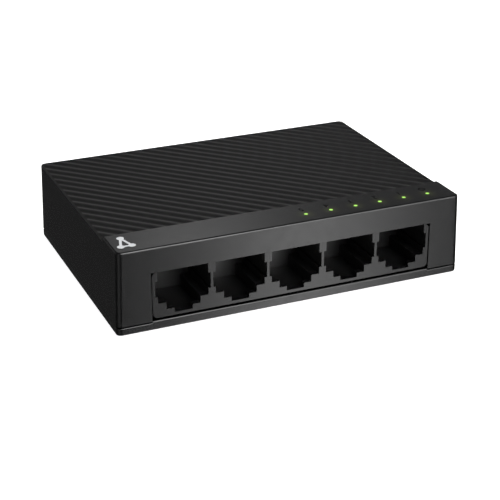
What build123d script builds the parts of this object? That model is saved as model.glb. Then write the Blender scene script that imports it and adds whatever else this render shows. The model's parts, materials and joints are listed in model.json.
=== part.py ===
"""Five-port desktop network switch: a moulded lid and base tray round one circuit board.

Millimetres, +Z up. The origin is the centre of the footprint, on the plane that the rubber feet
stand on. -Y is the port side, and +X is to the right of someone who faces the ports.

The board hangs component side down from the lid, so that the ganged socket block, the
transformers and the power inlet sit below it and the indicator lamps shine up through the lid.
"""

import os
from math import cos, radians, sin

from build123d import *

# ---------------------------------------------------------------- driving dimensions
CASE_W, CASE_D = 87.8, 63.0  # footprint of the case
BODY_H = 20.3  # case height without the feet
FOOT_PROUD = 0.3  # how far the feet stand out of the base
WALL = 1.8  # lid wall and lid roof
TRAY_T = 2.2  # base tray floor
BAND_T = 1.8  # base tray's outer band, which shows under the lid
SEAM = 0.35  # shadow gap between lid and base tray
CORNER_R = 1.2  # upright corners
EDGE_R = 0.45  # edges of the lid's top
SIDE_LEAN = 0.6  # moulding draft: each side wall of the lid leans in this far over its height
STRIP_D = 10.15  # plain raised strip along the front of the lid
STRIP_RISE = 0.7  # how far that strip stands above the ribbed panel
RIB_STEP = 2.83  # rib spacing square to the ribs, which run at 45 degrees
RIB_DEPTH = 0.34
PORTS = 5
PORT_PITCH = 13.97
FIT = 0.05  # clearance between pieces that drop into each other

# levels
Z_BASE = FOOT_PROUD
Z_FLOOR = Z_BASE + TRAY_T
Z_BAND = Z_BASE + BAND_T
Z_LID = Z_BAND + SEAM
Z_STRIP = Z_BASE + BODY_H
Z_PANEL = Z_STRIP - STRIP_RISE
Z_ROOF = Z_PANEL - WALL  # underside of the lid's roof
Z_BOARD = 15.4  # component side of the board
BOARD_T = 1.2
Z_BOARD_TOP = Z_BOARD + BOARD_T
Z_TAIL = Z_BOARD_TOP + 0.8  # ends of the soldered pins

FRONT, REAR = -CASE_D / 2, CASE_D / 2
IN_W, IN_D = CASE_W - 2 * WALL, CASE_D - 2 * WALL
STRIP_REAR = FRONT + STRIP_D

# socket block
BLOCK_W = 70.6
BLOCK_FACE = FRONT + 0.15
BLOCK_REAR = BLOCK_FACE + 15.5
BLOCK_BOTTOM = Z_BASE + 2.8
CUT_W, CUT_TOP = BLOCK_W + 0.5, Z_BASE + 14.2  # the lid's cut-out for it
LIP_REAR = FRONT + WALL + 0.15  # the block is lower in front of this, under the lid's wall
CAVITY_REAR = BLOCK_FACE + 13.0
CAVITY_TOP = CUT_TOP + 0.1

# spring contacts: wires wrapped round the nose of a carrier
WIRES = 8
WIRE_PITCH = 1.016
WIRE_W, WIRE_T = 0.42, 0.3
NOSE_Y, NOSE_Z = BLOCK_FACE + 3.05, Z_BOARD - 0.75
NOSE_R = 0.25
BEND_R = 0.45  # to the middle of the wire
ARM_SLOPE = 15.0
ARM_L = 8.2
PIN_ROWS = (BLOCK_REAR - 1.3, BLOCK_REAR - 3.84)

# power inlet
DC_X, DC_Z = 24.0, Z_BOARD - 6.5
DC_W, DC_H, DC_L = 9.0, 11.0, 14.0
DC_FACE = REAR - 0.3
DC_REAR = DC_FACE - DC_L
DC_BORE_R, DC_BORE_L = 3.1, 10.2
DC_COLLAR_L = 3.6
DC_PIN_R, DC_ROOT_R = 1.0, 1.2
DC_FLOOR = DC_FACE - DC_BORE_L
DC_PIN_END = DC_FACE - 0.8
LEAF_Y, LEAF_Z = DC_REAR + 5.5, DC_Z + 4.2

# indicator lamps
LAMP_PITCH = 6.49
LAMPS_X = [4.3 + i * LAMP_PITCH for i in range(6)]
LAMP_Y = FRONT + 4.05
LAMP_HOLE_R = 0.5
Z_LAMP_ROOF = Z_STRIP - WALL

# fastenings
CASE_SCREWS = [(-39.8, 27.4), (39.8, 27.4)]
BOARD_SCREWS = [(-37.2, 8.0), (37.2, 8.0)]
BOARD_RESTS = [(-38.6, -19.5), (38.6, -19.5), (0.0, 24.6)]
PAD_TOP = Z_FLOOR + 1.5  # corner pads of the tray, under the lid's screw posts
FEET = [(-28.0, -22.5), (28.0, -22.5), (-28.0, 22.5), (28.0, 22.5)]
FOOT_R, FOOT_SUNK = 4.0, 0.3
KEYHOLES_X, KEYHOLE_R, KEYSLOT_W, KEYSLOT_L = 25.0, 3.7, 3.8, 7.0
LABEL_W, LABEL_D, LABEL_T, LABEL_SUNK = 36.0, 15.0, 0.12, 0.15
SNAPS_Y, SNAP_L = (-11.0, 11.0), 6.0

os.makedirs("parts", exist_ok=True)


def save(part, name):
    """Labels a finished part and writes it as its own file."""
    part.label = name
    export_step(part, f"parts/{name}.step")


def port_x(number):
    """Centre of a socket. Socket 1 is nearest the power lamp, on the right."""
    return (3 - number) * PORT_PITCH


# ---------------------------------------------------------------- lid
RIB_REACH = 38  # half-waves each side of the middle, enough for the panel's diagonal
RIB_SUNK = 0.03  # crests lie this far under the panel's border
RIB_BORDER = 0.35
RIB_SHIFT = 0.045  # of the pattern from the panel's middle, along X and Y alike
TOP_W = CASE_W - 2 * SIDE_LEAN
panel_mid = Vector(RIB_SHIFT, (STRIP_REAR + REAR) / 2 + RIB_SHIFT, Z_PANEL - RIB_SUNK)
across_ribs = Plane(origin=panel_mid, x_dir=(1, 1, 0), z_dir=(1, -1, 0))

with BuildPart() as rib_cutter:
    with BuildSketch(across_ribs):
        with BuildLine():
            for k in range(-RIB_REACH, RIB_REACH):
                start, end = k * RIB_STEP / 2, (k + 1) * RIB_STEP / 2
                peak = 0 if k % 2 else -RIB_DEPTH
                middle = ((start + end) / 2, peak)
                ThreePointArc((start, -RIB_DEPTH / 2), middle, (end, -RIB_DEPTH / 2))
            reach = RIB_REACH * RIB_STEP / 2
            Polyline(
                (reach, -RIB_DEPTH / 2), (reach, 1), (-reach, 1), (-reach, -RIB_DEPTH / 2)
            )
        make_face()
    extrude(amount=CASE_W, both=True)
    with BuildSketch(Plane.XY.offset(Z_PANEL - 1)):
        with Locations((0, (STRIP_REAR + REAR - RIB_BORDER) / 2)):
            Rectangle(TOP_W - 2 * RIB_BORDER, REAR - RIB_BORDER - STRIP_REAR)
    extrude(amount=3, mode=Mode.INTERSECT)

with BuildPart() as top_cover:
    with BuildSketch(Plane.XY.offset(Z_LID)):
        RectangleRounded(CASE_W, CASE_D, CORNER_R)
    with BuildSketch(Plane.XY.offset(Z_STRIP)):
        RectangleRounded(TOP_W, CASE_D, CORNER_R)
    loft(ruled=True)
    with BuildSketch(Plane.XY.offset(Z_STRIP)):
        with Locations((0, (STRIP_REAR + REAR) / 2 + 1)):
            Rectangle(CASE_W + 2, REAR - STRIP_REAR + 2)
    extrude(amount=-STRIP_RISE, mode=Mode.SUBTRACT)
    # softened outer edges: the strip's front and ends, its step, then the panel's outer sides
    strip_top = top_cover.edges().filter_by_position(Axis.Z, Z_STRIP - 0.01, Z_STRIP + 0.01)
    strip_top = strip_top.sort_by(lambda edge: edge.center().Y)
    fillet(strip_top[:-1], radius=EDGE_R)
    panel_top = top_cover.edges().filter_by_position(Axis.Z, Z_PANEL - 0.01, Z_PANEL + 0.01)
    panel_top = panel_top.sort_by(lambda edge: edge.center().Y)
    fillet(panel_top[1:], radius=EDGE_R)
    add(rib_cutter.part, mode=Mode.SUBTRACT)

    # hollow, with a higher roof over the lamps
    with BuildSketch(Plane.XY.offset(Z_LID)):
        RectangleRounded(IN_W, IN_D, 0.4)
    extrude(amount=Z_ROOF - Z_LID, mode=Mode.SUBTRACT)
    with BuildSketch(Plane.XY.offset(Z_ROOF)):
        with Locations(((LAMPS_X[0] + LAMPS_X[-1]) / 2, LAMP_Y + 0.9)):
            Rectangle(LAMPS_X[-1] - LAMPS_X[0] + 6.4, 5.4)
    extrude(amount=Z_LAMP_ROOF - Z_ROOF, mode=Mode.SUBTRACT)

    # cut-outs for the sockets, the power inlet and the lamps
    with BuildSketch(Plane.XZ.offset(-FRONT - WALL - 0.5)):
        with Locations((0, (Z_LID + CUT_TOP) / 2 - 0.5)):
            Rectangle(CUT_W, CUT_TOP - Z_LID + 1)
    extrude(amount=WALL + 1, mode=Mode.SUBTRACT)
    with BuildSketch(Plane.XZ.offset(-REAR - 0.5)):
        with Locations((DC_X, (Z_LID + Z_BOARD) / 2 - 0.5)):
            Rectangle(DC_W + 0.3, Z_BOARD - Z_LID + 1.2)
    extrude(amount=WALL + 1, mode=Mode.SUBTRACT)
    with Locations([(x, LAMP_Y, Z_STRIP) for x in LAMPS_X]):
        Hole(LAMP_HOLE_R, depth=4)

    # posts: case screws, board screws, plain rests for the board, pegs for the lamp bar
    with BuildSketch(Plane.XY.offset(Z_ROOF + 0.2)):
        with Locations(CASE_SCREWS):
            Circle(2.7)
    extrude(amount=PAD_TOP - Z_ROOF - 0.2)
    with BuildSketch(Plane.XY.offset(Z_ROOF + 0.2)):
        with Locations(BOARD_SCREWS):
            Circle(2.4)
        with Locations(BOARD_RESTS):
            Circle(1.6)
    extrude(amount=Z_BOARD_TOP - Z_ROOF - 0.2)
    with Locations([(x, y, PAD_TOP) for x, y in CASE_SCREWS]):
        Cylinder(0.95, 8, align=(Align.CENTER, Align.CENTER, Align.MIN), mode=Mode.SUBTRACT)
    with Locations([(x, y, Z_BOARD_TOP) for x, y in BOARD_SCREWS]):
        Cylinder(0.8, 2.3, align=(Align.CENTER, Align.CENTER, Align.MIN), mode=Mode.SUBTRACT)

    # pockets that the tray's snap noses click into, in the side walls and beside the sockets
    for side in (-1, 1):
        with Locations([(side * IN_W / 2, y, Z_FLOOR + 1.5) for y in SNAPS_Y]):
            Box(1.0, SNAP_L + 0.6, 1.2, mode=Mode.SUBTRACT)
        with Locations((side * 38.6, -IN_D / 2, Z_FLOOR + 1.5)):
            Box(3.4, 1.0, 1.2, mode=Mode.SUBTRACT)
save(top_cover.part, "top_cover")

# ---------------------------------------------------------------- base tray
RIM_T, RIM_H, RIM_GAP = 1.0, 2.0, 0.15
RIM_W, RIM_D = IN_W - 2 * RIM_GAP, IN_D - 2 * RIM_GAP
TRAY_BOTTOM_R, TRAY_TOP_R = 0.3, 0.25  # outer edges
LIP_TOP, LIP_R = Z_FLOOR + 0.05, 0.4  # the band's higher stretch under the sockets
VENTS = 13

with BuildPart() as base_tray:
    with BuildSketch(Plane.XY.offset(Z_BASE)):
        RectangleRounded(CASE_W, CASE_D, CORNER_R)
    extrude(amount=BAND_T)
    fillet(base_tray.edges().group_by(Axis.Z)[0], radius=TRAY_BOTTOM_R)
    fillet(base_tray.edges().group_by(Axis.Z)[-1], radius=TRAY_TOP_R)
    # floor, raised inside the lid's walls, and the lip under the sockets
    with BuildSketch(Plane.XY.offset(Z_BAND)):
        RectangleRounded(RIM_W, RIM_D, 0.5)
    extrude(amount=TRAY_T - BAND_T)
    with BuildSketch(Plane.XY.offset(Z_BAND - 0.5)):
        with Locations((0, FRONT + 1.5)):
            Rectangle(CUT_W - 0.2, 3)
    extrude(amount=LIP_TOP - Z_BAND + 0.5)
    lip_edge = base_tray.edges().filter_by_position(Axis.Z, LIP_TOP - 0.01, LIP_TOP + 0.01)
    fillet(lip_edge.sort_by(Axis.Y)[0], radius=LIP_R)
    # locating rim inside the lid, open at the socket block and round the screw posts
    with BuildSketch(Plane.XY.offset(Z_FLOOR)):
        RectangleRounded(RIM_W, RIM_D, 0.5)
        Rectangle(RIM_W - 2 * RIM_T, RIM_D - 2 * RIM_T, mode=Mode.SUBTRACT)
        with Locations((0, FRONT + 2)):
            Rectangle(CUT_W, 4, mode=Mode.SUBTRACT)
        with Locations((DC_X, REAR - 2)):
            Rectangle(DC_W + 0.6, 4, mode=Mode.SUBTRACT)
    extrude(amount=RIM_H)
    # corner pads, clear of the lid's walls
    with BuildSketch(Plane.XY.offset(Z_FLOOR)):
        with Locations([(sx * (RIM_W / 2 - 3), RIM_D / 2 - 3) for sx in (-1, 1)]):
            Rectangle(6, 6)
    extrude(amount=PAD_TOP - Z_FLOOR)
    with BuildSketch(Plane.XY.offset(PAD_TOP)):
        with Locations([(sx * RIM_W / 2, RIM_D / 2) for sx in (-1, 1)]):
            Rectangle(12, 12)
    extrude(amount=RIM_H, mode=Mode.SUBTRACT)
    # tongue that closes the lid's cut-out under the power inlet
    with BuildSketch(Plane.XY.offset(Z_BAND - 0.5)):
        with Locations((DC_X, REAR - 1)):
            Rectangle(DC_W - 0.1, 2)
    extrude(amount=Z_BOARD - DC_H - 0.1 - Z_BAND + 0.5)
    # cross ribs that the socket block rests on
    with BuildSketch(Plane.XY.offset(Z_FLOOR)):
        with Locations([(port_x(n), (BLOCK_FACE + BLOCK_REAR) / 2) for n in (1, 3, 5)]):
            Rectangle(1.2, 11)
    extrude(amount=BLOCK_BOTTOM - Z_FLOOR)
    # snap noses on the rim
    for side in (-1, 1):
        with Locations([(side * RIM_W / 2, y, Z_FLOOR + 1.5) for y in SNAPS_Y]):
            Box(0.8, SNAP_L, 0.8)
        with Locations((side * 38.6, -RIM_D / 2, Z_FLOOR + 1.5)):
            Box(2.8, 0.8, 0.8)
    # screw holes sunk from below
    with Locations([Location((x, y, Z_BASE), (180, 0, 0)) for x, y in CASE_SCREWS]):
        CounterBoreHole(1.25, 2.3, 1.9, depth=6)
    # wall-hanging keyholes
    with BuildSketch(Plane.XY.offset(Z_BASE)):
        with Locations([(-KEYHOLES_X, 0), (KEYHOLES_X, 0)]):
            Circle(KEYHOLE_R)
        with Locations([(-KEYHOLES_X, KEYSLOT_L / 2), (KEYHOLES_X, KEYSLOT_L / 2)]):
            SlotOverall(KEYSLOT_L + KEYSLOT_W, KEYSLOT_W, rotation=90)
    extrude(amount=TRAY_T + 1, mode=Mode.SUBTRACT)
    # cooling slots in two rows
    with BuildSketch(Plane.XY.offset(Z_BASE)):
        with Locations((0, 15.5), (0, -11.5)):
            with GridLocations(3.0, 0, VENTS, 1):
                SlotOverall(7.5, 1.4, rotation=90)
    extrude(amount=TRAY_T + 1, mode=Mode.SUBTRACT)
    # seats for the feet and the rating label
    with BuildSketch(Plane.XY.offset(Z_BASE)):
        with Locations(FEET):
            Circle(FOOT_R + 0.15)
    extrude(amount=FOOT_SUNK, mode=Mode.SUBTRACT)
    with BuildSketch(Plane.XY.offset(Z_BASE)):
        RectangleRounded(LABEL_W + 0.4, LABEL_D - 0.1, 0.8)
    extrude(amount=LABEL_SUNK, mode=Mode.SUBTRACT)
save(base_tray.part, "base_tray")

# ---------------------------------------------------------------- feet, label and case screws
foot_names = ["foot_front_left", "foot_front_right", "foot_rear_left", "foot_rear_right"]
for name, (x, y) in zip(foot_names, FEET):
    with BuildPart() as foot:
        with Locations((x, y, 0)):
            Cylinder(
                FOOT_R, Z_BASE + FOOT_SUNK, align=(Align.CENTER, Align.CENTER, Align.MIN)
            )
        fillet(foot.edges().group_by(Axis.Z)[0], radius=0.2)
    save(foot.part, name)

with BuildPart() as rating_label:
    with BuildSketch(Plane.XY.offset(Z_BASE + LABEL_SUNK - LABEL_T)):
        RectangleRounded(LABEL_W, LABEL_D - 0.5, 0.6)
    extrude(amount=LABEL_T)
save(rating_label.part, "rating_label")


def screw(head_r, head_h, shank_r, shank_l):
    """A pan-head cross-recess screw that points up, with the head's seat at the origin."""
    with BuildPart() as made:
        Cylinder(head_r, head_h, align=(Align.CENTER, Align.CENTER, Align.MAX))
        fillet(made.edges().group_by(Axis.Z)[0], radius=head_h * 0.5)
        Cylinder(shank_r, shank_l, align=(Align.CENTER, Align.CENTER, Align.MIN))
        chamfer(made.edges().group_by(Axis.Z)[-1], length=shank_r * 0.4)
        with Locations((0, 0, -head_h)):
            Box(head_r * 1.1, head_r * 0.26, head_h, mode=Mode.SUBTRACT)
            Box(head_r * 0.26, head_r * 1.1, head_h, mode=Mode.SUBTRACT)
    return made.part


case_screw = screw(head_r=2.0, head_h=1.4, shank_r=0.92, shank_l=8.0)
with BuildPart() as case_screws:
    with Locations([(x, y, Z_BASE + 1.9) for x, y in CASE_SCREWS]):
        add(case_screw)
save(case_screws.part, "case_screws")

board_screw = screw(head_r=1.9, head_h=1.1, shank_r=0.77, shank_l=3.3)
with BuildPart() as board_screws:
    with Locations([(x, y, Z_BOARD) for x, y in BOARD_SCREWS]):
        add(board_screw)
save(board_screws.part, "board_screws")

# ---------------------------------------------------------------- socket block
GUIDE_HW, NOTCH_HW, SHOULDER_HW, CHANNEL_HW = 6.1, 6.68, 4.1, 2.2
Z_CHANNEL, Z_LEDGE_2, Z_LEDGE_1 = Z_BASE + 3.5, Z_BASE + 4.6, Z_BASE + 6.3
Z_NOTCH_0, Z_NOTCH_1 = Z_BASE + 7.95, Z_BASE + 11.75
LATCH_WALL = 1.6  # the plug's latch hooks behind a wall of this thickness
PEG_R, PEG_Y = 1.0, BLOCK_FACE + 8.0
PEGS_X = [(i - 1.5) * PORT_PITCH for i in range(4)]
CARRIER_W, CARRIER_REAR = 10.3, BLOCK_REAR - 0.6
CARRIER_FLOOR = NOSE_Z - NOSE_R
POCKET_FRONT = NOSE_Y - BEND_R - WIRE_T / 2 - 0.2
PORT_XS = [port_x(n) for n in range(1, PORTS + 1)]
HALF_OUTLINE = [
    (CHANNEL_HW, Z_CHANNEL),
    (CHANNEL_HW, Z_LEDGE_2),
    (SHOULDER_HW, Z_LEDGE_2),
    (SHOULDER_HW, Z_LEDGE_1),
    (GUIDE_HW, Z_LEDGE_1),
    (GUIDE_HW, Z_NOTCH_0),
    (NOTCH_HW, Z_NOTCH_0),
    (NOTCH_HW, Z_NOTCH_1),
    (GUIDE_HW, Z_NOTCH_1),
    (GUIDE_HW, CAVITY_TOP),
]
SOCKET_OUTLINE = HALF_OUTLINE + [(-x, z) for x, z in reversed(HALF_OUTLINE)]

with BuildPart() as jack_housing:
    with BuildSketch(Plane.XZ.offset(-BLOCK_FACE)):
        with Locations((0, (BLOCK_BOTTOM + CUT_TOP - 0.1) / 2)):
            block_face = Rectangle(BLOCK_W, CUT_TOP - 0.1 - BLOCK_BOTTOM)
        fillet(block_face.vertices().group_by(Axis.Z)[0], radius=1.2)
    extrude(amount=BLOCK_FACE - BLOCK_REAR)
    with BuildSketch(Plane.XZ.offset(-LIP_REAR)):
        with Locations((0, (CUT_TOP - 0.5 + Z_BOARD) / 2)):
            Rectangle(BLOCK_W, Z_BOARD - CUT_TOP + 0.5)
    extrude(amount=LIP_REAR - BLOCK_REAR)
    # sockets, then the room behind each latch wall
    with BuildSketch(Plane.XZ.offset(-BLOCK_FACE)):
        for x in PORT_XS:
            with Locations((x, 0)):
                Polygon(*SOCKET_OUTLINE, align=None)
    extrude(amount=BLOCK_FACE - CAVITY_REAR, mode=Mode.SUBTRACT)
    with BuildSketch(Plane.XZ.offset(-BLOCK_FACE - LATCH_WALL)):
        with Locations([(x, (Z_CHANNEL + Z_LEDGE_2) / 2) for x in PORT_XS]):
            Rectangle(2 * SHOULDER_HW, Z_LEDGE_2 - Z_CHANNEL)
    extrude(amount=BLOCK_FACE + LATCH_WALL - CAVITY_REAR, mode=Mode.SUBTRACT)
    # pockets for the contact carriers, open towards the board
    with BuildSketch(Plane.XY.offset(CARRIER_FLOOR)):
        with Locations([(x, (POCKET_FRONT + CARRIER_REAR + FIT) / 2) for x in PORT_XS]):
            Rectangle(CARRIER_W + 2 * FIT, CARRIER_REAR + FIT - POCKET_FRONT)
    extrude(amount=Z_BOARD - CARRIER_FLOOR + 1, mode=Mode.SUBTRACT)
    # pegs that locate the block in the board
    with BuildSketch(Plane.XY.offset(Z_BOARD - 0.5)):
        with Locations([(x, PEG_Y) for x in PEGS_X]):
            Circle(PEG_R)
    extrude(amount=BOARD_T + 0.9)
save(jack_housing.part, "jack_housing")

# ---------------------------------------------------------------- contact carriers
WIRES_X = [(i - (WIRES - 1) / 2) * WIRE_PITCH for i in range(WIRES)]
GAPS_X = [(i - WIRES / 2) * WIRE_PITCH for i in range(WIRES + 1)]
RAIL_W = 0.7
COMB_T, COMB_L, COMB_DROP = 0.3, 3.2, 2.2

with BuildPart() as carrier:
    with BuildSketch(Plane.YZ.offset(-CARRIER_W / 2)):
        with Locations((NOSE_Y, NOSE_Z)):
            Circle(NOSE_R)
        with Locations(((NOSE_Y + CARRIER_REAR) / 2, NOSE_Z)):
            Rectangle(CARRIER_REAR - NOSE_Y, 2 * NOSE_R)
    extrude(amount=CARRIER_W)
    # side rails up to the board, and low ribs between the wires
    with BuildSketch(Plane.XY.offset(CARRIER_FLOOR)):
        with Locations([(s * (CARRIER_W - RAIL_W) / 2, (NOSE_Y + CARRIER_REAR) / 2) for s in (-1, 1)]):
            Rectangle(RAIL_W, CARRIER_REAR - NOSE_Y)
    extrude(amount=Z_BOARD - CARRIER_FLOOR)
    with BuildSketch(Plane.XY.offset(NOSE_Z)):
        with Locations([(x, (NOSE_Y + CARRIER_REAR) / 2) for x in GAPS_X]):
            Rectangle(COMB_T, CARRIER_REAR - NOSE_Y)
    extrude(amount=Z_BOARD - 0.05 - NOSE_Z)
    # comb that keeps the free ends of the springs apart
    with BuildSketch(Plane.XY.offset(NOSE_Z)):
        with Locations([(x, CAVITY_REAR - COMB_L / 2 - 0.1) for x in GAPS_X]):
            Rectangle(COMB_T, COMB_L)
    extrude(amount=-NOSE_R - COMB_DROP)

# ---------------------------------------------------------------- contact wires
SPLIT = 3  # degrees left open on each side of the point where a wire starts to bend
nose = Vector(0, NOSE_Y, NOSE_Z)


def on_bend(angle):
    """A point on the wire's bend, by its angle from the rear (+Y) through the top (+Z)."""
    return nose + Vector(0, BEND_R * cos(radians(angle)), BEND_R * sin(radians(angle)))


def wire(path):
    """A flat wire along a path in the YZ plane."""
    with BuildPart() as made:
        with BuildSketch(Plane(origin=path @ 0, x_dir=(1, 0, 0), z_dir=path % 0)):
            Rectangle(WIRE_W, WIRE_T)
        sweep(path=path)
    return made.part


def contact_pin(row_y):
    """The fixed half of a contact: a soldered tail, a run over the carrier, half the bend."""
    run_z = NOSE_Z + BEND_R
    corner = Z_BOARD - run_z
    with BuildLine() as path:
        down = Line((0, row_y, Z_TAIL), (0, row_y, Z_BOARD))
        turn = TangentArc([down @ 1, (0, row_y - corner, run_z)], tangent=down % 1)
        run = Line(turn @ 1, (0, NOSE_Y, run_z))
        ThreePointArc(run @ 1, on_bend(135), on_bend(180 - SPLIT))
    return wire(path.line)


def contact_spring():
    """The free half of a contact: the rest of the bend and the arm that slopes into the socket."""
    leave = 270 - ARM_SLOPE
    reach = Vector(0, cos(radians(ARM_SLOPE)), -sin(radians(ARM_SLOPE))) * ARM_L
    with BuildLine() as path:
        bend = ThreePointArc(on_bend(180 + SPLIT), on_bend((180 + SPLIT + leave) / 2), on_bend(leave))
        Line(bend @ 1, on_bend(leave) + reach)
    return wire(path.line)


spring_wire = contact_spring()
pin_wires = [contact_pin(row_y) for row_y in PIN_ROWS]

for number in range(1, PORTS + 1):
    x0 = port_x(number)
    with BuildPart() as port_carrier:
        with Locations((x0, 0, 0)):
            add(carrier.part)
    save(port_carrier.part, f"port_{number}_contact_carrier")
    with BuildPart() as port_springs:
        with Locations([(x0 + x, 0, 0) for x in WIRES_X]):
            add(spring_wire)
    save(port_springs.part, f"port_{number}_contact_springs")
    with BuildPart() as port_pins:
        for row, pin_wire in enumerate(pin_wires):
            with Locations([(x0 + x, 0, 0) for x in WIRES_X[row::2]]):
                add(pin_wire)
    save(port_pins.part, f"port_{number}_contact_pins")

# ---------------------------------------------------------------- power inlet
DC_TAB_Y = DC_REAR - 0.3
TERM_W, TERM_T = 2.4, 0.3
TAIL_W = 1.0
SPRING_TAIL_Y = DC_REAR + 3.2
LEAF_W = 2.0
SLOT_TOP = DC_Z + 5.5

with BuildPart() as dc_jack_housing:
    with BuildSketch(Plane.XZ.offset(-DC_FACE)):
        with Locations((DC_X, Z_BOARD - DC_H / 2)):
            RectangleRounded(DC_W, DC_H, 0.4)
    extrude(amount=DC_COLLAR_L)
    with BuildSketch(Plane.XZ.offset(-DC_FACE)):
        with Locations((DC_X, Z_BOARD - (DC_H - 0.8) / 2)):
            Rectangle(DC_W - 0.8, DC_H - 0.8)
    extrude(amount=DC_L)
    # mouth, a clearance hole for the pin, and the leaf spring's slot with its tail hole
    with BuildSketch(Plane.XZ.offset(-DC_FACE)):
        with Locations((DC_X, DC_Z)):
            Circle(DC_BORE_R)
    extrude(amount=DC_BORE_L, mode=Mode.SUBTRACT)
    chamfer(dc_jack_housing.edges().filter_by(GeomType.CIRCLE).sort_by(Axis.Y)[-1], length=0.3)
    with BuildSketch(Plane.XZ.offset(-DC_REAR)):
        with Locations((DC_X, DC_Z)):
            Circle(DC_ROOT_R + FIT)
    extrude(amount=-DC_L / 2, mode=Mode.SUBTRACT)
    with BuildSketch(Plane.XY.offset(DC_Z + 1)):
        with Locations((DC_X, (SPRING_TAIL_Y - 0.5 + DC_FACE - 1.2) / 2)):
            Rectangle(LEAF_W + 0.8, DC_FACE - 1.2 - SPRING_TAIL_Y + 0.5)
    extrude(amount=SLOT_TOP - DC_Z - 1, mode=Mode.SUBTRACT)
    with BuildSketch(Plane.XY.offset(SLOT_TOP - 1)):
        with Locations((DC_X, SPRING_TAIL_Y)):
            Rectangle(TAIL_W + 0.2, TERM_T + 0.2)
    extrude(amount=4, mode=Mode.SUBTRACT)
save(dc_jack_housing.part, "dc_jack_housing")

with BuildPart() as dc_jack_centre_pin:
    # thick root held in the housing, then the free end that a plug slides over
    with BuildSketch(Plane.XZ.offset(-DC_TAB_Y)):
        with Locations((DC_X, DC_Z)):
            Circle(DC_ROOT_R)
    extrude(amount=DC_TAB_Y - DC_FLOOR)
    with BuildSketch(Plane.XZ.offset(-DC_FLOOR)):
        with Locations((DC_X, DC_Z)):
            Circle(DC_PIN_R)
    extrude(amount=DC_FLOOR - DC_PIN_END)
    fillet(dc_jack_centre_pin.edges().sort_by(Axis.Y)[-1], radius=0.5)
    with BuildSketch(Plane.XZ.offset(-DC_TAB_Y)):
        with Locations((DC_X, (DC_Z - DC_ROOT_R + Z_BOARD) / 2)):
            Rectangle(TERM_W, Z_BOARD - DC_Z + DC_ROOT_R)
        with Locations((DC_X, (Z_BOARD + Z_TAIL) / 2)):
            Rectangle(TAIL_W, Z_TAIL - Z_BOARD)
    extrude(amount=TERM_T / 2, both=True)
save(dc_jack_centre_pin.part, "dc_jack_centre_pin")

with BuildPart() as dc_jack_spring_terminal:
    with BuildSketch(Plane.XY.offset(LEAF_Z - TERM_T / 2)):
        with Locations((DC_X, (SPRING_TAIL_Y - TERM_T / 2 + LEAF_Y - 0.25) / 2)):
            Rectangle(LEAF_W, LEAF_Y - 0.25 - SPRING_TAIL_Y + TERM_T / 2)
    extrude(amount=TERM_T)
    with BuildSketch(Plane.XY.offset(LEAF_Z - TERM_T / 2)):
        with Locations((DC_X, SPRING_TAIL_Y)):
            Rectangle(TAIL_W, TERM_T)
    extrude(amount=Z_TAIL - LEAF_Z + TERM_T / 2)
save(dc_jack_spring_terminal.part, "dc_jack_spring_terminal")

leaf_points = [(0, 0), (5.0, -0.9), (5.9, -1.5), (6.6, -0.9)]
with BuildPart() as dc_jack_leaf_spring:
    with BuildSketch(Plane.YZ.offset(DC_X - LEAF_W / 2)):
        with BuildLine():
            Polyline([(LEAF_Y + y, LEAF_Z + z) for y, z in leaf_points])
            offset(amount=TERM_T / 2, side=Side.BOTH, mode=Mode.REPLACE)
        make_face()
    extrude(amount=LEAF_W)
save(dc_jack_leaf_spring.part, "dc_jack_leaf_spring")

# ---------------------------------------------------------------- circuit board
BOARD_W, BOARD_FRONT, BOARD_REAR = IN_W - 1.2, FRONT + WALL + 0.7, REAR - WALL - 0.7
POST_NOTCH = 6.2

with BuildPart() as circuit_board:
    with BuildSketch(Plane.XY.offset(Z_BOARD)):
        with Locations((0, (BOARD_FRONT + BOARD_REAR) / 2)):
            Rectangle(BOARD_W, BOARD_REAR - BOARD_FRONT)
        with Locations([(side * IN_W / 2, REAR - WALL) for side in (-1, 1)]):
            Rectangle(2 * POST_NOTCH, 2 * POST_NOTCH, mode=Mode.SUBTRACT)
        with Locations([(x, PEG_Y) for x in PEGS_X]):
            Circle(PEG_R + 0.1, mode=Mode.SUBTRACT)
        with Locations(BOARD_SCREWS):
            Circle(0.95, mode=Mode.SUBTRACT)
        with Locations((DC_X, DC_TAB_Y), (DC_X, SPRING_TAIL_Y)):
            Circle(0.65, mode=Mode.SUBTRACT)
        for row, row_y in enumerate(PIN_ROWS):
            with Locations([(x0 + x, row_y) for x0 in PORT_XS for x in WIRES_X[row::2]]):
                Circle(0.33, mode=Mode.SUBTRACT)
    extrude(amount=BOARD_T)
save(circuit_board.part, "circuit_board")


def gull_lead(width, drop):
    """A lead that leaves a chip's side at the origin, towards +Y, and turns up to the board."""
    metal, knee, toe = 0.16, 0.5, 1.15
    outline = [
        (0, 0),
        (knee, 0),
        (knee, drop - metal),
        (toe, drop - metal),
        (toe, drop),
        (knee - metal, drop),
        (knee - metal, metal),
        (0, metal),
    ]
    with BuildPart() as made:
        with BuildSketch(Plane.YZ.offset(-width / 2)):
            Polygon(*outline, align=None)
        extrude(amount=width)
    return made.part


def chip(name, x, y, width, depth, height, lift=0.1, edge=0.15):
    """A moulded package under the board, with its pin-1 dimple on the face away from the board."""
    with BuildPart() as body:
        with BuildSketch(Plane.XY.offset(Z_BOARD - lift)):
            with Locations((x, y)):
                Rectangle(width, depth)
        extrude(amount=-height)
        chamfer(body.edges().group_by(Axis.Z)[0], length=edge)
        dimple = min(width, depth) * 0.08
        with BuildSketch(Plane.XY.offset(Z_BOARD - lift - height)):
            with Locations((x - width / 2 + 3 * dimple, y - depth / 2 + 3 * dimple)):
                Circle(dimple)
        extrude(amount=0.1, mode=Mode.SUBTRACT)
    save(body.part, name)


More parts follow.
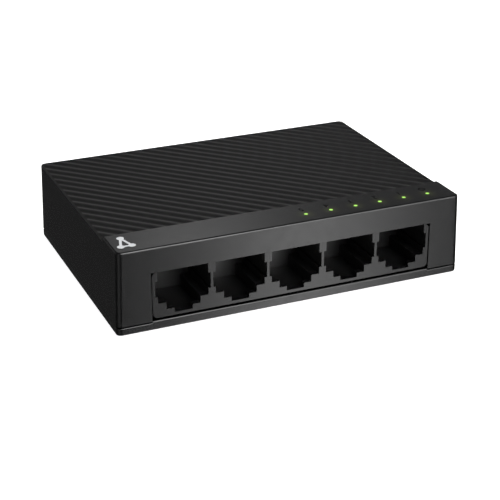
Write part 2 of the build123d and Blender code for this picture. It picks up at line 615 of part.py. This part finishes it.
def side_leads(x, y, half, count, pitch, z, quarter_turns):
    """Where the leads stand round a package: a row on each side that quarter_turns names."""
    places = []
    for turn in quarter_turns:
        for i in range(count):
            along = (i - (count - 1) / 2) * pitch
            spot = Location((x, y, z), (0, 0, 90 * turn)) * Location((along, half, 0))
            places.append(spot)
    return places


# transformers, one behind each socket
TRAFO_Y, TRAFO_W, TRAFO_D, TRAFO_H = -8.5, 12.0, 7.2, 5.4
trafo_lead = gull_lead(width=0.4, drop=1.6)
for number in range(1, PORTS + 1):
    chip(f"lan_transformer_{number}", port_x(number), TRAFO_Y, TRAFO_W, TRAFO_D, TRAFO_H, edge=0.4)
with BuildPart() as lan_transformer_leads:
    for x in PORT_XS:
        with Locations(side_leads(x, TRAFO_Y, TRAFO_D / 2, 8, 1.27, Z_BOARD - 1.6, (0, 2))):
            add(trafo_lead)
save(lan_transformer_leads.part, "lan_transformer_leads")

# switch chip and regulator
SWITCH_X, SWITCH_Y, SWITCH_W = -7.0, 8.5, 7.0
chip("switch_chip", SWITCH_X, SWITCH_Y, SWITCH_W, SWITCH_W, 1.4)
chip_lead = gull_lead(width=0.22, drop=0.8)
with BuildPart() as switch_chip_leads:
    around = side_leads(SWITCH_X, SWITCH_Y, SWITCH_W / 2, 12, 0.5, Z_BOARD - 0.8, (0, 1, 2, 3))
    with Locations(around):
        add(chip_lead)
save(switch_chip_leads.part, "switch_chip_leads")

REG_X, REG_Y = 25.0, 11.0
chip("regulator_chip", REG_X, REG_Y, 4.9, 3.9, 1.5)
reg_lead = gull_lead(width=0.4, drop=0.8)
with BuildPart() as regulator_leads:
    with Locations(side_leads(REG_X, REG_Y, 3.9 / 2, 4, 1.27, Z_BOARD - 0.8, (0, 2))):
        add(reg_lead)
save(regulator_leads.part, "regulator_leads")

chip("protection_diode", 34.0, 19.0, 4.3, 2.7, 2.1, lift=0)

# crystal
with BuildPart() as crystal:
    with BuildSketch(Plane.XY.offset(Z_BOARD)):
        with Locations((-23.0, 9.0)):
            SlotOverall(11.2, 4.8)
    extrude(amount=-0.4)
    with BuildSketch(Plane.XY.offset(Z_BOARD - 0.4)):
        with Locations((-23.0, 9.0)):
            SlotOverall(10.2, 3.9)
    extrude(amount=-3.1)
    fillet(crystal.edges().group_by(Axis.Z)[0], radius=0.6)
save(crystal.part, "crystal")

# inductor: a square ferrite with a round wound core
with BuildPart() as power_inductor:
    with BuildSketch(Plane.XY.offset(Z_BOARD)):
        with Locations((31.0, 2.5)):
            RectangleRounded(6.0, 6.0, 0.8)
    extrude(amount=-3.0)
    with BuildSketch(Plane.XY.offset(Z_BOARD - 3.0)):
        with Locations((31.0, 2.5)):
            Circle(2.5)
            Circle(2.0, mode=Mode.SUBTRACT)
    extrude(amount=0.5, mode=Mode.SUBTRACT)
save(power_inductor.part, "power_inductor")

# electrolytic capacitors on square moulded bases
CAN_R, CAN_H, CAN_BASE = 3.15, 7.0, 0.7
for name, (x, y) in {"input_capacitor": (14.0, 22.0), "output_capacitor": (21.0, 4.0)}.items():
    with BuildPart() as can:
        with BuildSketch(Plane.XY.offset(Z_BOARD - CAN_BASE)):
            with Locations((x, y)):
                Circle(CAN_R)
        extrude(amount=-CAN_H)
        fillet(can.edges().group_by(Axis.Z)[0], radius=0.4)
        with Locations((x, y, Z_BOARD - CAN_BASE - 1.2)):
            Torus(CAN_R + 0.15, 0.4, mode=Mode.SUBTRACT)
    save(can.part, name)
with BuildPart() as capacitor_bases:
    with BuildSketch(Plane.XY.offset(Z_BOARD)):
        with Locations((14.0, 22.0), (21.0, 4.0)):
            Rectangle(6.6, 6.6)
    extrude(amount=-CAN_BASE)
    chamfer(capacitor_bases.edges().filter_by(Axis.Z).group_by(Axis.X)[0], length=1.2)
save(capacitor_bases.part, "capacitor_bases")

# small surface-mount pieces
RESISTOR = (0.8, 1.6, 0.45)
CAPACITOR = (0.8, 1.6, 0.8)
with BuildPart() as chip_resistors:
    with Locations([(x + dx, -1.4, Z_BOARD) for x in PORT_XS for dx in (-4.5, -1.5, 1.5, 4.5)]):
        Box(*RESISTOR, align=(Align.CENTER, Align.CENTER, Align.MAX))
save(chip_resistors.part, "chip_resistors")
with BuildPart() as chip_capacitors:
    with Locations([(SWITCH_X + dx, SWITCH_Y + 7.5, Z_BOARD) for dx in (-4.5, -1.5, 1.5, 4.5)]):
        Box(*CAPACITOR, align=(Align.CENTER, Align.CENTER, Align.MAX))
    with Locations([(-33.0, 3.0 * i, Z_BOARD) for i in range(1, 5)]):
        Box(*CAPACITOR, align=(Align.CENTER, Align.CENTER, Align.MAX))
save(chip_capacitors.part, "chip_capacitors")

# ---------------------------------------------------------------- indicator lamps and light pipe
lamp_names = [f"port_{n}_lamp" for n in range(PORTS, 0, -1)] + ["power_lamp"]
for name, x in zip(lamp_names, LAMPS_X):
    with BuildPart() as lamp:
        with BuildSketch(Plane.XY.offset(Z_BOARD_TOP)):
            with Locations((x, LAMP_Y)):
                Rectangle(2.0, 1.25)
        extrude(amount=0.3)
        with BuildSketch(Plane.XY.offset(Z_BOARD_TOP + 0.3)):
            with Locations((x, LAMP_Y)):
                Rectangle(1.3, 1.25)
        extrude(amount=0.5, taper=12)
    save(lamp.part, name)

with BuildPart() as light_pipe:
    with BuildSketch(Plane.XY.offset(Z_LAMP_ROOF)):
        with Locations(((LAMPS_X[0] + LAMPS_X[-1]) / 2, LAMP_Y + 0.9)):
            Rectangle(LAMPS_X[-1] - LAMPS_X[0] + 6.4 - 2 * FIT, 5.4 - 2 * FIT)
    extrude(amount=-1.0)
    with BuildSketch(Plane.XY.offset(Z_LAMP_ROOF)):
        with Locations([(x, LAMP_Y) for x in LAMPS_X]):
            Circle(LAMP_HOLE_R - FIT)
    extrude(amount=Z_STRIP - Z_LAMP_ROOF)
save(light_pipe.part, "light_pipe")
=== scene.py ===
"""Looks for the five-socket desktop network switch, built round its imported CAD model."""

import json
from math import cos, pi, radians, sin

import bmesh
import bpy
from mathutils import Matrix, Vector


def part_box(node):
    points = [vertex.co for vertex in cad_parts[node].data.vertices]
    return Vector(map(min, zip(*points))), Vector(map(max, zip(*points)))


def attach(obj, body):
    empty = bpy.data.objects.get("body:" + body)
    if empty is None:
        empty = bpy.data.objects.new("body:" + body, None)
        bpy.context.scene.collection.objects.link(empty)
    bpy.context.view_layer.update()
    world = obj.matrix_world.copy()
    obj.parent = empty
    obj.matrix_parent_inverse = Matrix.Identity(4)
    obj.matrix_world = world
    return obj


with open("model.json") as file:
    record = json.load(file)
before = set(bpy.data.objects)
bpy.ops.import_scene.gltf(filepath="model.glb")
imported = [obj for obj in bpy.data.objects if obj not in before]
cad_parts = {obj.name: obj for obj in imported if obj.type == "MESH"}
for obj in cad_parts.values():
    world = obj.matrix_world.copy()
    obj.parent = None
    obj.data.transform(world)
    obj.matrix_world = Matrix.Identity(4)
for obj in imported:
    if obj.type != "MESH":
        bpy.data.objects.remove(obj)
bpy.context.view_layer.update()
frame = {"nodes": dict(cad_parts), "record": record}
NODES = frame["nodes"]
MM = 0.001
PORTS = range(1, 6)

# ---------------------------------------------------------------- places read from the frame
case_lo, case_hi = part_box("top_cover")
LAMP_NODES = [f"port_{n}_lamp" for n in reversed(PORTS)] + ["power_lamp"]
LAMP_PLACES = [sum(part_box(node), Vector()) / 2 for node in LAMP_NODES]
LAMP_PITCH = LAMP_PLACES[1].x - LAMP_PLACES[0].x
LAMP_Y = LAMP_PLACES[0].y
STRIP_Z = case_hi.z
STRIP_REAR = case_lo.y + 10.15 * MM
BLOCK_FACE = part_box("jack_housing")[0].y
PORT_PITCH = 13.97 * MM

# ---------------------------------------------------------------- camera
CAMERA_PLACE = Vector((-121.061, -285.888, 141.019)) * MM
CAMERA_AZIMUTH, CAMERA_ELEVATION, CAMERA_ROLL = -23.272, 24.312, -0.059
CAMERA_LENS = 96.164

camera = bpy.data.objects.new("camera", bpy.data.cameras.new("camera"))
bpy.context.scene.collection.objects.link(camera)
camera.matrix_world = (
    Matrix.Translation(CAMERA_PLACE)
    @ Matrix.Rotation(radians(CAMERA_AZIMUTH), 4, "Z")
    @ Matrix.Rotation(radians(90 - CAMERA_ELEVATION), 4, "X")
    @ Matrix.Rotation(radians(CAMERA_ROLL), 4, "Z")
)
camera.data.lens = CAMERA_LENS
camera.data.clip_start, camera.data.clip_end = 0.01, 20
bpy.context.scene.camera = camera


# ---------------------------------------------------------------- material helpers
class Graph:
    """A node tree with short calls for what these surfaces need."""

    def __init__(self, owner):
        owner.use_nodes = True
        self.tree = owner.node_tree

    def node(self, kind, **settings):
        made = self.tree.nodes.new(kind)
        for key, value in settings.items():
            setattr(made, key, value)
        return made

    def link(self, source, target):
        self.tree.links.new(source, target)

    def axes(self, vector):
        """The x, y and z of a vector."""
        split = self.node("ShaderNodeSeparateXYZ")
        self.link(vector, split.inputs[0])
        return split.outputs

    def math(self, operation, a, b=0.0):
        """One sum on sockets or plain numbers."""
        made = self.node("ShaderNodeMath", operation=operation)
        for socket, value in zip(made.inputs, (a, b)):
            if isinstance(value, (int, float)):
                socket.default_value = value
            else:
                self.link(value, socket)
        return made.outputs[0]

    def bell(self, value):
        """1 where the value is 0, and falling away on both sides."""
        square = self.math("MULTIPLY", value, value)
        return self.math("EXPONENT", self.math("MULTIPLY", square, -1))

    def ramp(self, source, low, high, low_at=0.35, high_at=0.65):
        """Runs from low to high while the source runs from low_at to high_at."""
        made = self.node("ShaderNodeMapRange")
        made.inputs["From Min"].default_value = low_at
        made.inputs["From Max"].default_value = high_at
        made.inputs["To Min"].default_value = low
        made.inputs["To Max"].default_value = high
        self.link(source, made.inputs["Value"])
        return made.outputs["Result"]


class Surface(Graph):
    """A node material on the principled shader."""

    def __init__(self, name, color, roughness, **sockets):
        self.material = bpy.data.materials.new(name)
        super().__init__(self.material)
        self.shader = self.tree.nodes["Principled BSDF"]
        self.shader.inputs["Base Color"].default_value = (*color, 1)
        self.shader.inputs["Roughness"].default_value = roughness
        for socket, value in sockets.items():
            self.shader.inputs[socket.replace("_", " ")].default_value = value
        self.roughness = roughness
        self.place = self.node("ShaderNodeTexCoord").outputs["Object"]

    def noise(self, size_mm, detail=2.0, stretch=(1, 1, 1)):
        """Noise whose blotches are about size_mm across."""
        scaled = self.node("ShaderNodeMapping")
        scaled.inputs["Scale"].default_value = stretch
        self.link(self.place, scaled.inputs["Vector"])
        made = self.node("ShaderNodeTexNoise")
        made.inputs["Scale"].default_value = 1 / (size_mm * MM)
        made.inputs["Detail"].default_value = detail
        self.link(scaled.outputs[0], made.inputs["Vector"])
        return made.outputs["Fac"]

    def tint(self, factor, color):
        """Mixes the base colour towards another where factor is 1."""
        made = self.node("ShaderNodeMix", data_type="RGBA")
        base = self.shader.inputs["Base Color"]
        if base.is_linked:
            self.link(base.links[0].from_socket, made.inputs["A"])
        else:
            made.inputs["A"].default_value = base.default_value
        made.inputs["B"].default_value = (*color, 1)
        self.link(factor, made.inputs["Factor"])
        self.link(made.outputs["Result"], base)

    def vary_roughness(self, source, spread):
        """Lets the roughness wander by spread either way."""
        rough = self.ramp(source, self.roughness - spread, self.roughness + spread)
        self.link(rough, self.shader.inputs["Roughness"])

    def add_roughness(self, factor, extra):
        """Raises the roughness by extra where factor is 1."""
        rough = self.shader.inputs["Roughness"]
        before = rough.links[0].from_socket
        self.link(self.math("ADD", before, self.math("MULTIPLY", factor, extra)), rough)

    def bump(self, height, depth_mm):
        """Adds a bump on top of what is there already."""
        made = self.node("ShaderNodeBump")
        made.inputs["Strength"].default_value = 1.0
        made.inputs["Distance"].default_value = depth_mm * MM
        self.link(height, made.inputs["Height"])
        normal = self.shader.inputs["Normal"]
        if normal.is_linked:
            self.link(normal.links[0].from_socket, made.inputs["Normal"])
        self.link(made.outputs[0], normal)


def lighter(color, factor):
    """The colour times a factor, which may also be below 1."""
    return tuple(min(1, c * factor) for c in color)


def moulded(name, color, roughness, grain_mm=0.22, grain_depth_mm=0.006, **sockets):
    """Moulded plastic: spark-eroded grain, faint flow marks and uneven gloss."""
    made = Surface(name, color, roughness, **sockets)
    made.tint(made.ramp(made.noise(9.0, 3.0), 0.0, 0.6), lighter(color, 1.22))
    made.tint(made.ramp(made.noise(0.5, 2.0), 0.0, 0.4), lighter(color, 0.8))
    made.vary_roughness(made.noise(2.2, 3.0), roughness * 0.05)
    made.bump(made.noise(grain_mm, 2.0), grain_depth_mm)
    return made


def plated(name, color, roughness, along=(1, 1, 1)):
    """Plated or drawn metal with fine marks along one direction."""
    made = Surface(name, color, roughness, Metallic=1.0)
    made.tint(made.ramp(made.noise(1.2, 3.0), 0.0, 0.5), lighter(color, 0.8))
    made.vary_roughness(made.noise(0.12, 2.0, along), 0.08)
    made.bump(made.noise(0.1, 2.0, along), 0.002)
    return made


# ---------------------------------------------------------------- materials
CHARCOAL = (0.0034, 0.0034, 0.0035)
LAMP_GREEN = (0.43, 0.84, 0.13)
# HALO_GREEN and the halo sizes make a painted glow: the case plastic emits faint green light round
# each lamp hole
HALO_GREEN = (0.85, 1.0, 0.2)
HALO_REACH, HALO_DEPTH, HALO_STRENGTH = 1.5 * MM, 1.0 * MM, 0.022
PANEL_TONE, PANEL_DEPTH, PANEL_DULLNESS = (0.0062, 0.0062, 0.0063), 1.2 * MM, 0.22


def case_plastic():
    """Charcoal case plastic: duller on the ribbed panel, with a painted green glow (emission) round
    each lamp hole.
    """
    made = moulded("case_plastic", CHARCOAL, 0.21, 0.3, 0.0006)
    x, y, z = made.axes(made.place)
    behind = made.math("GREATER_THAN", y, STRIP_REAR)
    panel = made.math("MULTIPLY", behind, made.math("GREATER_THAN", z, STRIP_Z - PANEL_DEPTH))
    made.add_roughness(panel, PANEL_DULLNESS)
    made.tint(panel, PANEL_TONE)
    # painted glow: emission on the case plastic round each lamp hole, standing in for the lamps'
    # spilled light
    along = made.math("SUBTRACT", x, LAMP_PLACES[0].x)
    nearest = made.math("ROUND", made.math("DIVIDE", along, LAMP_PITCH))
    nearest = made.math("MAXIMUM", made.math("MINIMUM", nearest, len(LAMP_PLACES) - 1), 0)
    dx = made.math("SUBTRACT", along, made.math("MULTIPLY", nearest, LAMP_PITCH))
    dy = made.math("SUBTRACT", y, LAMP_Y)
    square = made.math("ADD", made.math("MULTIPLY", dx, dx), made.math("MULTIPLY", dy, dy))
    glow = made.math("EXPONENT", made.math("DIVIDE", square, -(HALO_REACH**2)))
    on_top = made.math("GREATER_THAN", z, STRIP_Z - HALO_DEPTH)
    strength = made.math("MULTIPLY", made.math("MULTIPLY", glow, on_top), HALO_STRENGTH)
    made.shader.inputs["Emission Color"].default_value = (*HALO_GREEN, 1)
    made.link(strength, made.shader.inputs["Emission Strength"])
    return made.material


FACE_ROUGHNESS, MOUTH_ROUGHNESS = 0.22, 0.6
# the colour of the painted shade deep inside each socket mouth
MOUTH_PAINTED_SHADE = (0.0012, 0.0012, 0.0013)
MOUTH_SHADE = 0.3 * MM, 2.5 * MM  # painted shade: a mouth's colour turns dark, and its surface dull, between these depths
# the painted sheen inside each mouth, made by emission
SHEEN_ACROSS = -5.6 * MM, 1.0 * MM  # brightest and darkest place, from the mouth's middle
SHEEN_UP = 6.0 * MM, 14.2 * MM  # darkest and brightest height
SHEEN_SHIFT, SHEEN_SINK = 0.363, 0.514  # how far the sheen moves right and down with depth
SHEEN_MIDDLE, SHEEN_SPREAD, SHEEN_STRENGTH = -1.0 * MM, 24.0 * MM, 0.055


def jack_plastic():
    """The socket block's plastic: as the case on its face, dull inside the mouths, with painted
    shade darkening them and a painted sheen in their upper left.
    """
    made = moulded("jack_plastic", CHARCOAL, FACE_ROUGHNESS, 0.3, 0.0006)
    x, y, z = made.axes(made.place)
    depth = made.math("SUBTRACT", y, BLOCK_FACE)
    inside = made.ramp(depth, 0, 1, *MOUTH_SHADE)
    # painted shade: the colour darkens with depth into each mouth
    made.tint(inside, MOUTH_PAINTED_SHADE)
    duller = made.ramp(depth, FACE_ROUGHNESS, MOUTH_ROUGHNESS, *MOUTH_SHADE)
    made.link(duller, made.shader.inputs["Roughness"])
    # painted sheen: a faint white emission in the upper left of each mouth, dying away across it and
    # deeper in
    nearest = made.math("ROUND", made.math("DIVIDE", x, PORT_PITCH))
    across = made.math("SUBTRACT", x, made.math("MULTIPLY", nearest, PORT_PITCH))
    across = made.math("SUBTRACT", across, made.math("MULTIPLY", depth, SHEEN_SHIFT))
    height = made.math("ADD", z, made.math("MULTIPLY", depth, SHEEN_SINK))
    left = made.ramp(across, 1, 0, *SHEEN_ACROSS)
    top = made.ramp(height, 0, 1, *SHEEN_UP)
    sheen_patch = made.math("MULTIPLY", made.math("MULTIPLY", left, left), made.math("MULTIPLY", top, top))
    off = made.math("DIVIDE", made.math("SUBTRACT", x, SHEEN_MIDDLE), SHEEN_SPREAD)
    glow = made.math("MULTIPLY", made.math("MULTIPLY", sheen_patch, made.bell(off)), inside)
    # painted sheen: the mouths' plastic emits this faint white light
    made.shader.inputs["Emission Color"].default_value = (1, 1, 1, 1)
    made.link(made.math("MULTIPLY", glow, SHEEN_STRENGTH), made.shader.inputs["Emission Strength"])
    return made.material


def board_laminate():
    """Green solder mask over copper tracks, on both faces of the board."""
    green, track = (0.006, 0.075, 0.03), (0.02, 0.15, 0.055)
    made = Surface("board_laminate", green, 0.28, Coat_Weight=0.3)
    weave = made.node("ShaderNodeTexBrick", offset=0.5, squash=1.0)
    made.link(made.place, weave.inputs["Vector"])
    weave.inputs["Scale"].default_value = 1 / (1.6 * MM)
    weave.inputs["Mortar Size"].default_value = 0.09
    weave.inputs["Brick Width"].default_value = 2.4
    made.tint(weave.outputs["Fac"], track)
    made.bump(weave.outputs["Fac"], 0.03)
    made.vary_roughness(made.noise(0.8), 0.05)
    return made.material


BORDER_INSET, BORDER_T = 1.1 * MM, 0.2 * MM


def brushed_label():
    """Silver-grey film with a thin dark border line, left blank."""
    made = Surface("label_film", (0.42, 0.43, 0.44), 0.35, Metallic=0.35)
    lo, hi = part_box("rating_label")
    centre, half = (lo + hi) / 2, (hi - lo) / 2
    inset = []
    for axis, place in enumerate(made.axes(made.place)[:2]):
        offset = made.math("ABSOLUTE", made.math("SUBTRACT", place, centre[axis]))
        inset.append(made.math("SUBTRACT", half[axis], offset))
    line = made.math("COMPARE", made.math("MINIMUM", *inset), BORDER_INSET)
    line.node.inputs[2].default_value = BORDER_T / 2
    made.tint(made.ramp(made.noise(0.3, 2.0, (0.05, 1, 1)), 0.0, 0.3), (0.3, 0.31, 0.32))
    made.tint(line, (0.03, 0.03, 0.03))
    made.bump(made.noise(0.25, 2.0, (0.05, 1, 1)), 0.002)
    return made.material


def clear_lit():
    """Light-pipe plastic filled with green light, with a slightly frosted, uneven end."""
    made = Surface("clear_plastic", (0.06, 0.12, 0.03), 0.35)
    made.shader.inputs["Emission Color"].default_value = (*LAMP_GREEN, 1)
    cell = made.ramp(made.noise(0.35, 1.0), 0.85, 1.1)
    made.link(cell, made.shader.inputs["Emission Strength"])
    return made.material


def rubber():
    """Dull black rubber, dusty in places."""
    made = Surface("foot_rubber", (0.018, 0.018, 0.019), 0.75)
    made.tint(made.ramp(made.noise(0.8, 3.0), 0.0, 0.7), (0.035, 0.034, 0.033))
    made.bump(made.noise(0.18, 3.0), 0.02)
    return made.material


MATERIALS = {
    "case_plastic": case_plastic(),
    "jack_plastic": jack_plastic(),
    "carrier_plastic": moulded("carrier_plastic", (0.008, 0.008, 0.008), 0.4, 0.3, 0.004).material,
    "contact_gold": plated("contact_gold", (0.83, 0.58, 0.22), 0.22, (4, 0.3, 0.3)).material,
    "plated_brass": plated("plated_brass", (0.66, 0.64, 0.6), 0.25, (1, 0.2, 1)).material,
    "tinned_lead": plated("tinned_lead", (0.62, 0.63, 0.64), 0.32).material,
    "screw_steel": plated("screw_steel", (0.36, 0.37, 0.38), 0.3, (1, 1, 0.3)).material,
    "foot_rubber": rubber(),
    "label_film": brushed_label(),
    "board_laminate": board_laminate(),
    "chip_epoxy": moulded("chip_epoxy", (0.014, 0.014, 0.015), 0.55, 0.12, 0.01).material,
    "transformer_plastic": moulded("transformer_plastic", (0.016, 0.016, 0.016), 0.45).material,
    "ferrite": moulded("ferrite", (0.05, 0.05, 0.053), 0.6, 0.15, 0.02).material,
    "can_aluminium": plated("can_aluminium", (0.8, 0.81, 0.83), 0.28, (1, 1, 0.1)).material,
    "crystal_can": plated("crystal_can", (0.62, 0.6, 0.56), 0.24).material,
    "resistor_ceramic": moulded("resistor_ceramic", (0.02, 0.02, 0.024), 0.3).material,
    "capacitor_ceramic": moulded("capacitor_ceramic", (0.3, 0.2, 0.1), 0.35).material,
    "lamp_body": clear_lit(),
    "clear_plastic": clear_lit(),
}
for entry in frame["record"]["subparts"]:
    mesh = NODES[entry["node"]].data
    mesh.materials.clear()
    mesh.materials.append(MATERIALS[entry["material_slot"]])


# ---------------------------------------------------------------- printed marks on the strip
PRINT_T = 0.012 * MM
PRINT_LOW = STRIP_Z - PRINT_T / 4


def ink(name, color, roughness):
    """Screen-printed ink, slightly patchy."""
    made = Surface(name, color, roughness)
    made.tint(made.ramp(made.noise(0.25, 2.0), 0.0, 0.4), lighter(color, 0.75))
    made.bump(made.noise(0.12, 2.0), 0.002)
    return made.material


BLACK_INK = ink("black_ink", (0.002, 0.002, 0.002), 0.8)
BLACK_INK.node_tree.nodes["Principled BSDF"].inputs["Specular IOR Level"].default_value = 0.1
WHITE_INK = ink("white_ink", (0.52, 0.53, 0.54), 0.5)


def add_piece(name, mesh, material):
    """A new piece of the case, already in the row frame."""
    made = bpy.data.objects.new(name, mesh)
    bpy.context.scene.collection.objects.link(made)
    made.data.materials.clear()
    made.data.materials.append(material)
    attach(made, "case")


def raised(name, outlines, material):
    """Flat printed shapes of closed outlines on the strip, each a touch thicker than the last."""
    made = bmesh.new()
    for layer, outline in enumerate(outlines):
        corners = [made.verts.new((x, y, PRINT_LOW)) for x, y in outline]
        face = made.faces.new(corners)
        lifted = bmesh.ops.extrude_face_region(made, geom=[face])["geom"]
        tops = [v for v in lifted if isinstance(v, bmesh.types.BMVert)]
        bmesh.ops.translate(made, verts=tops, vec=(0, 0, PRINT_T * (1 + 0.2 * layer)))
    bmesh.ops.recalc_face_normals(made, faces=made.faces)
    mesh = bpy.data.meshes.new(name)
    made.to_mesh(mesh)
    made.free()
    add_piece(name, mesh, material)


def disc(x, y, radius, steps=28):
    """A filled circle."""
    turns = [2 * pi * i / steps for i in range(steps)]
    return [(x + radius * cos(t), y + radius * sin(t)) for t in turns]


def bar(a, b, width):
    """A straight stroke from a to b."""
    a, b = Vector(a), Vector(b)
    side = (b - a).normalized().orthogonal() * width / 2
    return [tuple(p) for p in (a - side, b - side, b + side, a + side)]


def arc_band(x, y, inner, outer, start, end, steps=24):
    """Part of a ring between two angles in degrees."""
    turns = [radians(start + (end - start) * i / steps) for i in range(steps + 1)]
    out = [(x + outer * cos(t), y + outer * sin(t)) for t in turns]
    back = [(x + inner * cos(t), y + inner * sin(t)) for t in reversed(turns)]
    return out + back


def network_mark():
    """A generic network symbol: three joined dots, printed in white near the strip's left end."""
    centre_x, centre_y = case_lo.x + 4.0 * MM, case_lo.y + 5.5 * MM
    half_w, half_d, dot, stroke = 1.3 * MM, 2.25 * MM, 0.85 * MM, 0.6 * MM
    dots = [(centre_x, centre_y + half_d)]
    dots += [(centre_x + side * half_w, centre_y - half_d) for side in (-1, 1)]
    shapes = [bar(dots[i - 1], dots[i], stroke) for i in range(3)]
    shapes += [disc(*place, dot) for place in dots]
    raised("network_mark", shapes, WHITE_INK)


LABEL_Y = case_lo.y + 6.8 * MM
DIGIT_H = 1.75 * MM
DIGIT_PART = 0.7  # a digit's height over the font's size


def power_symbol():
    """A generic power symbol behind the power lamp: an open ring and a bar, read from behind."""
    x, y = LAMP_PLACES[-1].x, LABEL_Y
    inner, outer, stroke = 0.62 * MM, 0.92 * MM, 0.3 * MM
    stem_top, stem_end = 1.2 * MM, 0.2 * MM
    ring = arc_band(x, y, inner, outer, -55, 235)
    stem = bar((x, y - stem_end), (x, y - stem_top), stroke)
    raised("power_symbol", [ring, stem], BLACK_INK)


def lamp_digit(number, x):
    """The socket's number behind its lamp, turned to be read from behind."""
    text = bpy.data.curves.new(f"digit_{number}", "FONT")
    text.body = str(number)
    text.size = DIGIT_H / DIGIT_PART
    text.align_x = "CENTER"
    text.align_y = "CENTER"
    text.extrude = PRINT_T / 2
    holder = bpy.data.objects.new("digit", text)
    bpy.context.scene.collection.objects.link(holder)
    bpy.context.view_layer.update()
    solid = holder.evaluated_get(bpy.context.evaluated_depsgraph_get())
    mesh = bpy.data.meshes.new_from_object(solid)
    bpy.data.objects.remove(holder)
    mesh.transform(Matrix.Translation((x, LABEL_Y, STRIP_Z)) @ Matrix.Rotation(pi, 4, "Z"))
    add_piece(f"lamp_digit_{number}", mesh, BLACK_INK)


network_mark()
power_symbol()
for number, place in zip(reversed(PORTS), LAMP_PLACES):
    lamp_digit(number, place.x)


# ---------------------------------------------------------------- floor, world and lights
FLOOR_REACH = 40.0
FLOOR_PALE, FLOOR_DARK, FLOOR_GLOW = (0.6, 0.6, 0.6), (0.5, 0.5, 0.5), 0.95

HORIZON_GLOW, UPPER_GLOW, LOWER_GLOW = 0.6, 0.072, 0.012
HORIZON_TOP, UPPER_FROM, LOWER_FROM = 0.02, 0.28, -0.012  # sines of elevations
# each panel's level, turn from -Y towards +X and half width, its lowest and highest elevation and
# how softly it ends there, all in degrees, and the surface whose sheen it makes
PANELS = [
    (7.6, 25.8, 2.2, -60, 12, 6),  # the middle of the socket face
    (0.12, 32.0, 12.0, -60, 12, 6),  # the right end of the socket face
    (10.5, 18.0, 14.0, 14, 50, 6),  # the case's front top edge
    (1.4, 159.4, 4.0, 23.2, 40, 1.2),  # the left half of the strip
    (0.15, 146.0, 9.0, 6, 19.8, 1),  # the ribs towards the right
    (0.035, -160.0, 25.0, -60, -4, 4),  # the left side
    (0.35, -50.0, 22.0, -60, 4, 6),  # the front and left side, seen from other corners
    (0.35, 128.0, 22.0, -60, -2, 4),  # the back and right side, seen from other corners
]

KEY_PLACE, KEY_TARGET = Vector((0.12, -0.1, 0.8)), Vector((0, 0, 0.01))
KEY_SIZE, KEY_WATTS = 0.7, 8.0


def floor():
    """A pale, evenly lit floor, which the plastic doesn't mirror."""
    reach = FLOOR_REACH
    corners = [(-reach, -reach, 0), (reach, -reach, 0), (reach, reach, 0), (-reach, reach, 0)]
    mesh = bpy.data.meshes.new("floor")
    mesh.from_pydata(corners, [], [(0, 1, 2, 3)])
    made = bpy.data.objects.new("floor", mesh)
    bpy.context.scene.collection.objects.link(made)
    pale = Surface("floor_paper", FLOOR_PALE, 0.8)
    pale.tint(pale.ramp(pale.noise(60.0, 3.0), 0.0, 0.15), FLOOR_DARK)
    pale.shader.inputs["Specular IOR Level"].default_value = 0.2
    pale.shader.inputs["Emission Color"].default_value = (1, 1, 1, 1)
    pale.shader.inputs["Emission Strength"].default_value = FLOOR_GLOW
    mesh.materials.append(pale.material)
    made.visible_glossy = False


def softbox():
    """The square light overhead, which brightens matt surfaces and leaves no reflection."""
    light = bpy.data.lights.new("key", "AREA")
    light.shape = "RECTANGLE"
    light.size = light.size_y = KEY_SIZE
    light.energy = KEY_WATTS
    made = bpy.data.objects.new("key", light)
    bpy.context.scene.collection.objects.link(made)
    made.location = KEY_PLACE
    made.rotation_euler = (KEY_TARGET - KEY_PLACE).to_track_quat("-Z", "Y").to_euler()
    made.visible_camera = made.visible_glossy = False


def panel_glow(sky, turn, rise, level, azimuth, half_width, low, high, soft):
    """The brightness that one panel adds in a direction."""
    off = sky.math("SUBTRACT", turn, radians(azimuth))
    wrapped = sky.math("ARCTAN2", sky.math("SINE", off), sky.math("COSINE", off))
    across = sky.bell(sky.math("DIVIDE", wrapped, radians(half_width)))
    bottom = sky.ramp(rise, 0, 1, radians(low - soft), radians(low + soft))
    top = sky.ramp(rise, 1, 0, radians(high - soft), radians(high + soft))
    between = sky.math("MULTIPLY", bottom, top)
    return sky.math("MULTIPLY", sky.math("MULTIPLY", across, level), between)


def studio_world():
    """A dim studio whose soft panels show only as sheen in the plastic."""
    world = bpy.data.worlds.new("studio")
    bpy.context.scene.world = world
    world.cycles.sampling_method = "NONE"
    sky = Graph(world)
    background = sky.tree.nodes["Background"]
    x, y, z = sky.axes(sky.node("ShaderNodeTexCoord").outputs["Generated"])
    turn = sky.math("ARCTAN2", x, sky.math("MULTIPLY", y, -1))
    rise = sky.math("ARCSINE", z)
    below = sky.math("LESS_THAN", z, LOWER_FROM)
    above = sky.math("SUBTRACT", 1, below)
    glow = sky.ramp(z, HORIZON_GLOW, UPPER_GLOW, HORIZON_TOP, UPPER_FROM)
    glow = sky.math("MULTIPLY", glow, above)
    glow = sky.math("ADD", glow, sky.math("MULTIPLY", below, LOWER_GLOW))
    for panel in PANELS:
        glow = sky.math("ADD", glow, panel_glow(sky, turn, rise, *panel))
    sky.link(glow, background.inputs["Strength"])
    background.inputs["Color"].default_value = (1, 1, 1, 1)


floor()
studio_world()
softbox()
bpy.context.scene.view_settings.view_transform = "Standard"
